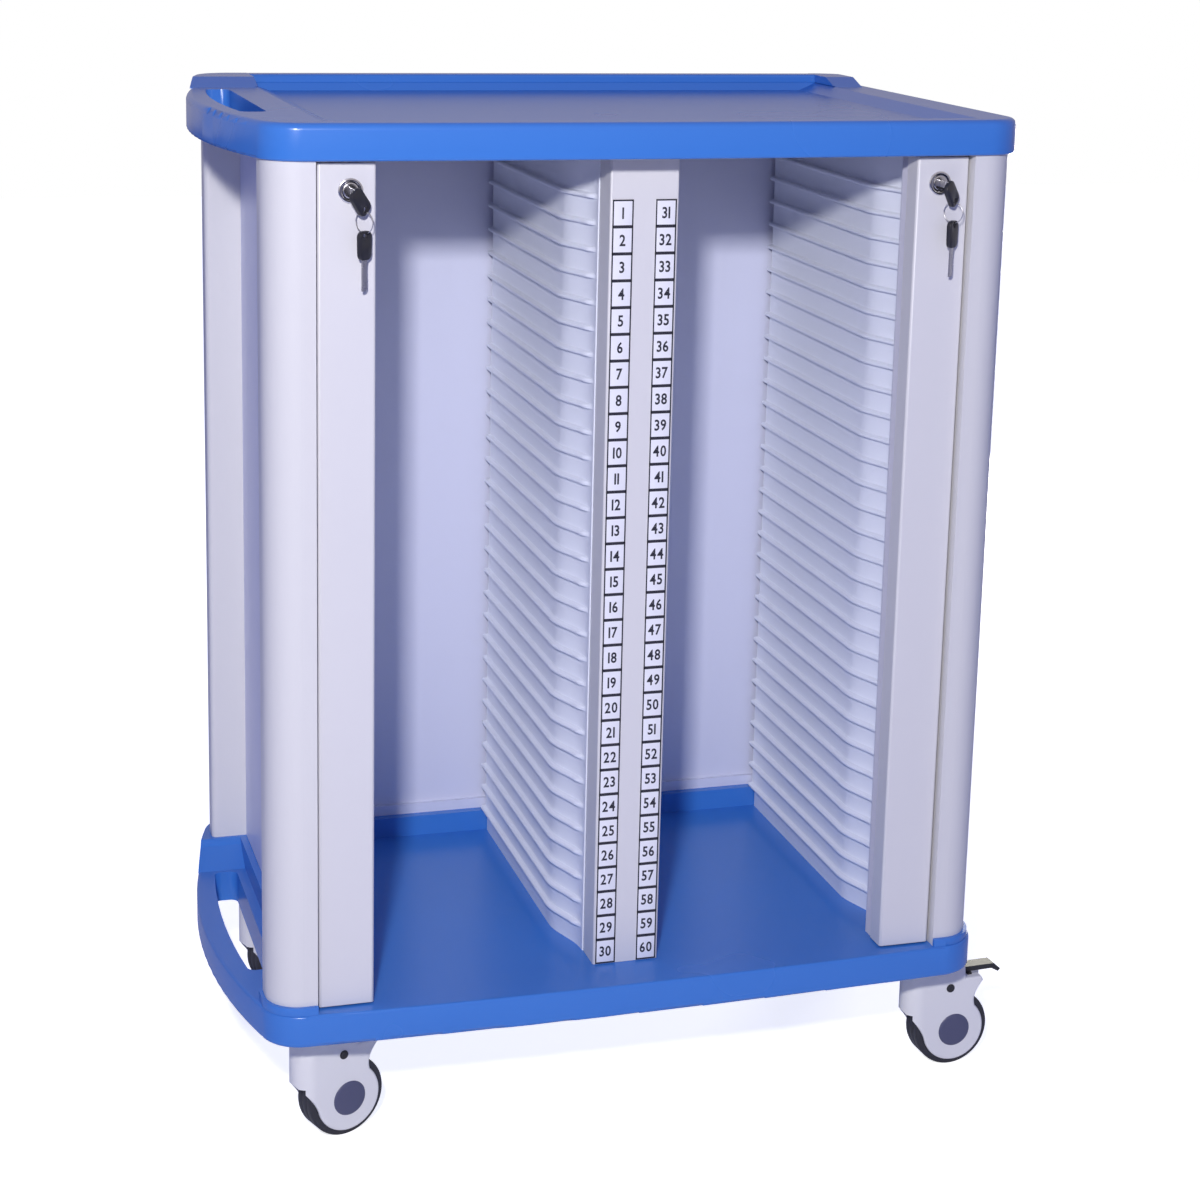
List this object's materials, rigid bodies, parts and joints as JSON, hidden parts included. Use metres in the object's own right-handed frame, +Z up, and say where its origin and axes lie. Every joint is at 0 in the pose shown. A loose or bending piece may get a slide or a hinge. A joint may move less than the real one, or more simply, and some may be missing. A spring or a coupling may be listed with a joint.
{
  "type": "medical chart rack",
  "caption": "Mobile chart cabinet with two open bays of ledged slots, numbered divider, sliding shutter doors with locks, moulded base and top tray with end handles, on swivel casters.",
  "frame": {"origin": "centre of the bounding box on the floor plane", "axes": "+Z up, front with the open bays faces -Y, +X to the right seen from the front"},
  "size_m": [0.9027, 0.5252, 1.113],
  "materials": {
    "blue_plastic": "satin moulded ABS",
    "column": "satin powder coat",
    "stile": "satin powder coat",
    "panel": "satin powder coat",
    "liner": "vacuum-formed, fine satin",
    "shutter": "satin, ribbed",
    "card": "printed, black border and number",
    "chrome": "polished",
    "key_black": "satin, steel blade",
    "frame_steel": "plain paint",
    "screw_steel": "zinc plated",
    "caster_plastic": "satin moulded",
    "hub_cap": "satin",
    "wheel_core": "satin",
    "tyre": "smooth",
    "pedal_black": "satin"
  },
  "bodies": {
    "cabinet": {"base_tray": "blue_plastic", "top_tray": "blue_plastic", "base_frame": "frame_steel", "ceiling_plate": "frame_steel", "back_panel": "panel", "back_rails": "panel", "column_screws": "screw_steel", "divider_frame": "panel", "label_cards": "card", "door_track": "frame_steel", "shutter_guides": "shutter", "column_front_left": "column", "column_front_right": "column", "column_rear_left": "column", "column_rear_right": "column", "side_panel_left": "panel", "side_panel_right": "panel", "outer_liner_left": "liner", "outer_liner_right": "liner", "divider_liner_left": "liner", "divider_liner_right": "liner", "caster_stems": "screw_steel"},
    "door_left": {"door_stile_left": "stile", "lock_body_left": "chrome"},
    "leaf_left_1": {"shutter_leaf_left_1": "shutter"},
    "leaf_left_2": {"shutter_leaf_left_2": "shutter"},
    "leaf_left_3": {"shutter_leaf_left_3": "shutter"},
    "leaf_left_4": {"shutter_leaf_left_4": "shutter"},
    "lock_left": {"lock_plug_left": "chrome", "door_key_left": "key_black"},
    "spare_key_left": {"spare_key_left": "key_black"},
    "door_right": {"door_stile_right": "stile", "lock_body_right": "chrome"},
    "leaf_right_1": {"shutter_leaf_right_1": "shutter"},
    "leaf_right_2": {"shutter_leaf_right_2": "shutter"},
    "leaf_right_3": {"shutter_leaf_right_3": "shutter"},
    "leaf_right_4": {"shutter_leaf_right_4": "shutter"},
    "lock_right": {"lock_plug_right": "chrome", "door_key_right": "key_black"},
    "spare_key_right": {"spare_key_right": "key_black"},
    "caster_front_left": {"caster_shell_front_left": "caster_plastic", "caster_axle_front_left": "hub_cap"},
    "wheel_front_left": {"caster_wheel_front_left": "wheel_core", "caster_tyre_front_left": "tyre"},
    "caster_front_right": {"caster_shell_front_right": "caster_plastic", "caster_axle_front_right": "hub_cap"},
    "wheel_front_right": {"caster_wheel_front_right": "wheel_core", "caster_tyre_front_right": "tyre"},
    "pedal_front_right": {"brake_pedal_front_right": "pedal_black"},
    "caster_rear_left": {"caster_shell_rear_left": "caster_plastic", "caster_axle_rear_left": "hub_cap"},
    "wheel_rear_left": {"caster_wheel_rear_left": "wheel_core", "caster_tyre_rear_left": "tyre"},
    "pedal_rear_left": {"brake_pedal_rear_left": "pedal_black"},
    "caster_rear_right": {"caster_shell_rear_right": "caster_plastic", "caster_axle_rear_right": "hub_cap"},
    "wheel_rear_right": {"caster_wheel_rear_right": "wheel_core", "caster_tyre_rear_right": "tyre"}
  },
  "joints": [
    {"name": "door_left_slide", "type": "slide", "parent": "cabinet", "child": "door_left", "axis": [1, 0, 0], "range_m": [0, 0.2865]},
    {"name": "leaf_left_1_slide", "type": "slide", "parent": "cabinet", "child": "leaf_left_1", "axis": [1, 0, 0], "range_m": [0, 0.2293]},
    {"name": "leaf_left_2_slide", "type": "slide", "parent": "cabinet", "child": "leaf_left_2", "axis": [1, 0, 0], "range_m": [0, 0.172]},
    {"name": "leaf_left_3_slide", "type": "slide", "parent": "cabinet", "child": "leaf_left_3", "axis": [1, 0, 0], "range_m": [0, 0.1147]},
    {"name": "leaf_left_4_slide", "type": "slide", "parent": "cabinet", "child": "leaf_left_4", "axis": [1, 0, 0], "range_m": [0, 0.0574]},
    {"name": "lock_left_turn", "type": "hinge", "parent": "door_left", "child": "lock_left", "pos_m": [-0.32889, -0.23437, 1.036], "axis": [0, -1, 0], "range_deg": [0, 90]},
    {"name": "spare_key_left_swing", "type": "hinge", "parent": "lock_left", "child": "spare_key_left", "pos_m": [-0.3176, -0.24736, 1.01915], "axis": [0.6018, -0.7986, 0], "range_deg": [-60, 5]},
    {"name": "door_right_slide", "type": "slide", "parent": "cabinet", "child": "door_right", "axis": [-1, 0, 0], "range_m": [0, 0.2865]},
    {"name": "leaf_right_1_slide", "type": "slide", "parent": "cabinet", "child": "leaf_right_1", "axis": [-1, 0, 0], "range_m": [0, 0.2293]},
    {"name": "leaf_right_2_slide", "type": "slide", "parent": "cabinet", "child": "leaf_right_2", "axis": [-1, 0, 0], "range_m": [0, 0.172]},
    {"name": "leaf_right_3_slide", "type": "slide", "parent": "cabinet", "child": "leaf_right_3", "axis": [-1, 0, 0], "range_m": [0, 0.1147]},
    {"name": "leaf_right_4_slide", "type": "slide", "parent": "cabinet", "child": "leaf_right_4", "axis": [-1, 0, 0], "range_m": [0, 0.0574]},
    {"name": "lock_right_turn", "type": "hinge", "parent": "door_right", "child": "lock_right", "pos_m": [0.29611, -0.23437, 1.036], "axis": [0, 1, 0], "range_deg": [0, 90]},
    {"name": "spare_key_right_swing", "type": "hinge", "parent": "lock_right", "child": "spare_key_right", "pos_m": [0.3074, -0.24736, 1.01915], "axis": [0.6018, -0.7986, 0], "range_deg": [-60, 5]},
    {"name": "swivel_front_left", "type": "hinge", "parent": "cabinet", "child": "caster_front_left", "pos_m": [-0.35639, -0.17437, 0.12], "axis": [0, 0, 1], "continuous": true},
    {"name": "roll_front_left", "type": "hinge", "parent": "caster_front_left", "child": "wheel_front_left", "pos_m": [-0.32632, -0.16342, 0.045], "axis": [-0.342, 0.9397, 0], "continuous": true},
    {"name": "swivel_front_right", "type": "hinge", "parent": "cabinet", "child": "caster_front_right", "pos_m": [0.35561, -0.17437, 0.12], "axis": [0, 0, 1], "continuous": true},
    {"name": "roll_front_right", "type": "hinge", "parent": "caster_front_right", "child": "wheel_front_right", "pos_m": [0.38756, -0.17269, 0.045], "axis": [-0.0523, 0.9986, 0], "continuous": true},
    {"name": "brake_front_right", "type": "hinge", "parent": "caster_front_right", "child": "pedal_front_right", "pos_m": [0.40953, -0.17154, 0.106], "axis": [-0.0523, 0.9986, 0], "range_deg": [0, 10]},
    {"name": "swivel_rear_left", "type": "hinge", "parent": "cabinet", "child": "caster_rear_left", "pos_m": [-0.35639, 0.19563, 0.12], "axis": [0, 0, 1], "continuous": true},
    {"name": "roll_rear_left", "type": "hinge", "parent": "caster_rear_left", "child": "wheel_rear_left", "pos_m": [-0.32632, 0.20658, 0.045], "axis": [-0.342, 0.9397, 0], "continuous": true},
    {"name": "brake_rear_left", "type": "hinge", "parent": "caster_rear_left", "child": "pedal_rear_left", "pos_m": [-0.30565, 0.2141, 0.106], "axis": [-0.342, 0.9397, 0], "range_deg": [0, 10]},
    {"name": "swivel_rear_right", "type": "hinge", "parent": "cabinet", "child": "caster_rear_right", "pos_m": [0.35561, 0.19563, 0.12], "axis": [0, 0, 1], "continuous": true},
    {"name": "roll_rear_right", "type": "hinge", "parent": "caster_rear_right", "child": "wheel_rear_right", "pos_m": [0.38743, 0.19898, 0.045], "axis": [-0.1045, 0.9945, 0], "continuous": true}
  ],
  "couplings": [
    {"joint": "leaf_left_1_slide", "follows": "door_left_slide", "ratio": 0.8},
    {"joint": "leaf_left_2_slide", "follows": "door_left_slide", "ratio": 0.6},
    {"joint": "leaf_left_3_slide", "follows": "door_left_slide", "ratio": 0.4},
    {"joint": "leaf_left_4_slide", "follows": "door_left_slide", "ratio": 0.2},
    {"joint": "leaf_right_1_slide", "follows": "door_right_slide", "ratio": 0.8},
    {"joint": "leaf_right_2_slide", "follows": "door_right_slide", "ratio": 0.6},
    {"joint": "leaf_right_3_slide", "follows": "door_right_slide", "ratio": 0.4},
    {"joint": "leaf_right_4_slide", "follows": "door_right_slide", "ratio": 0.2}
  ]
}
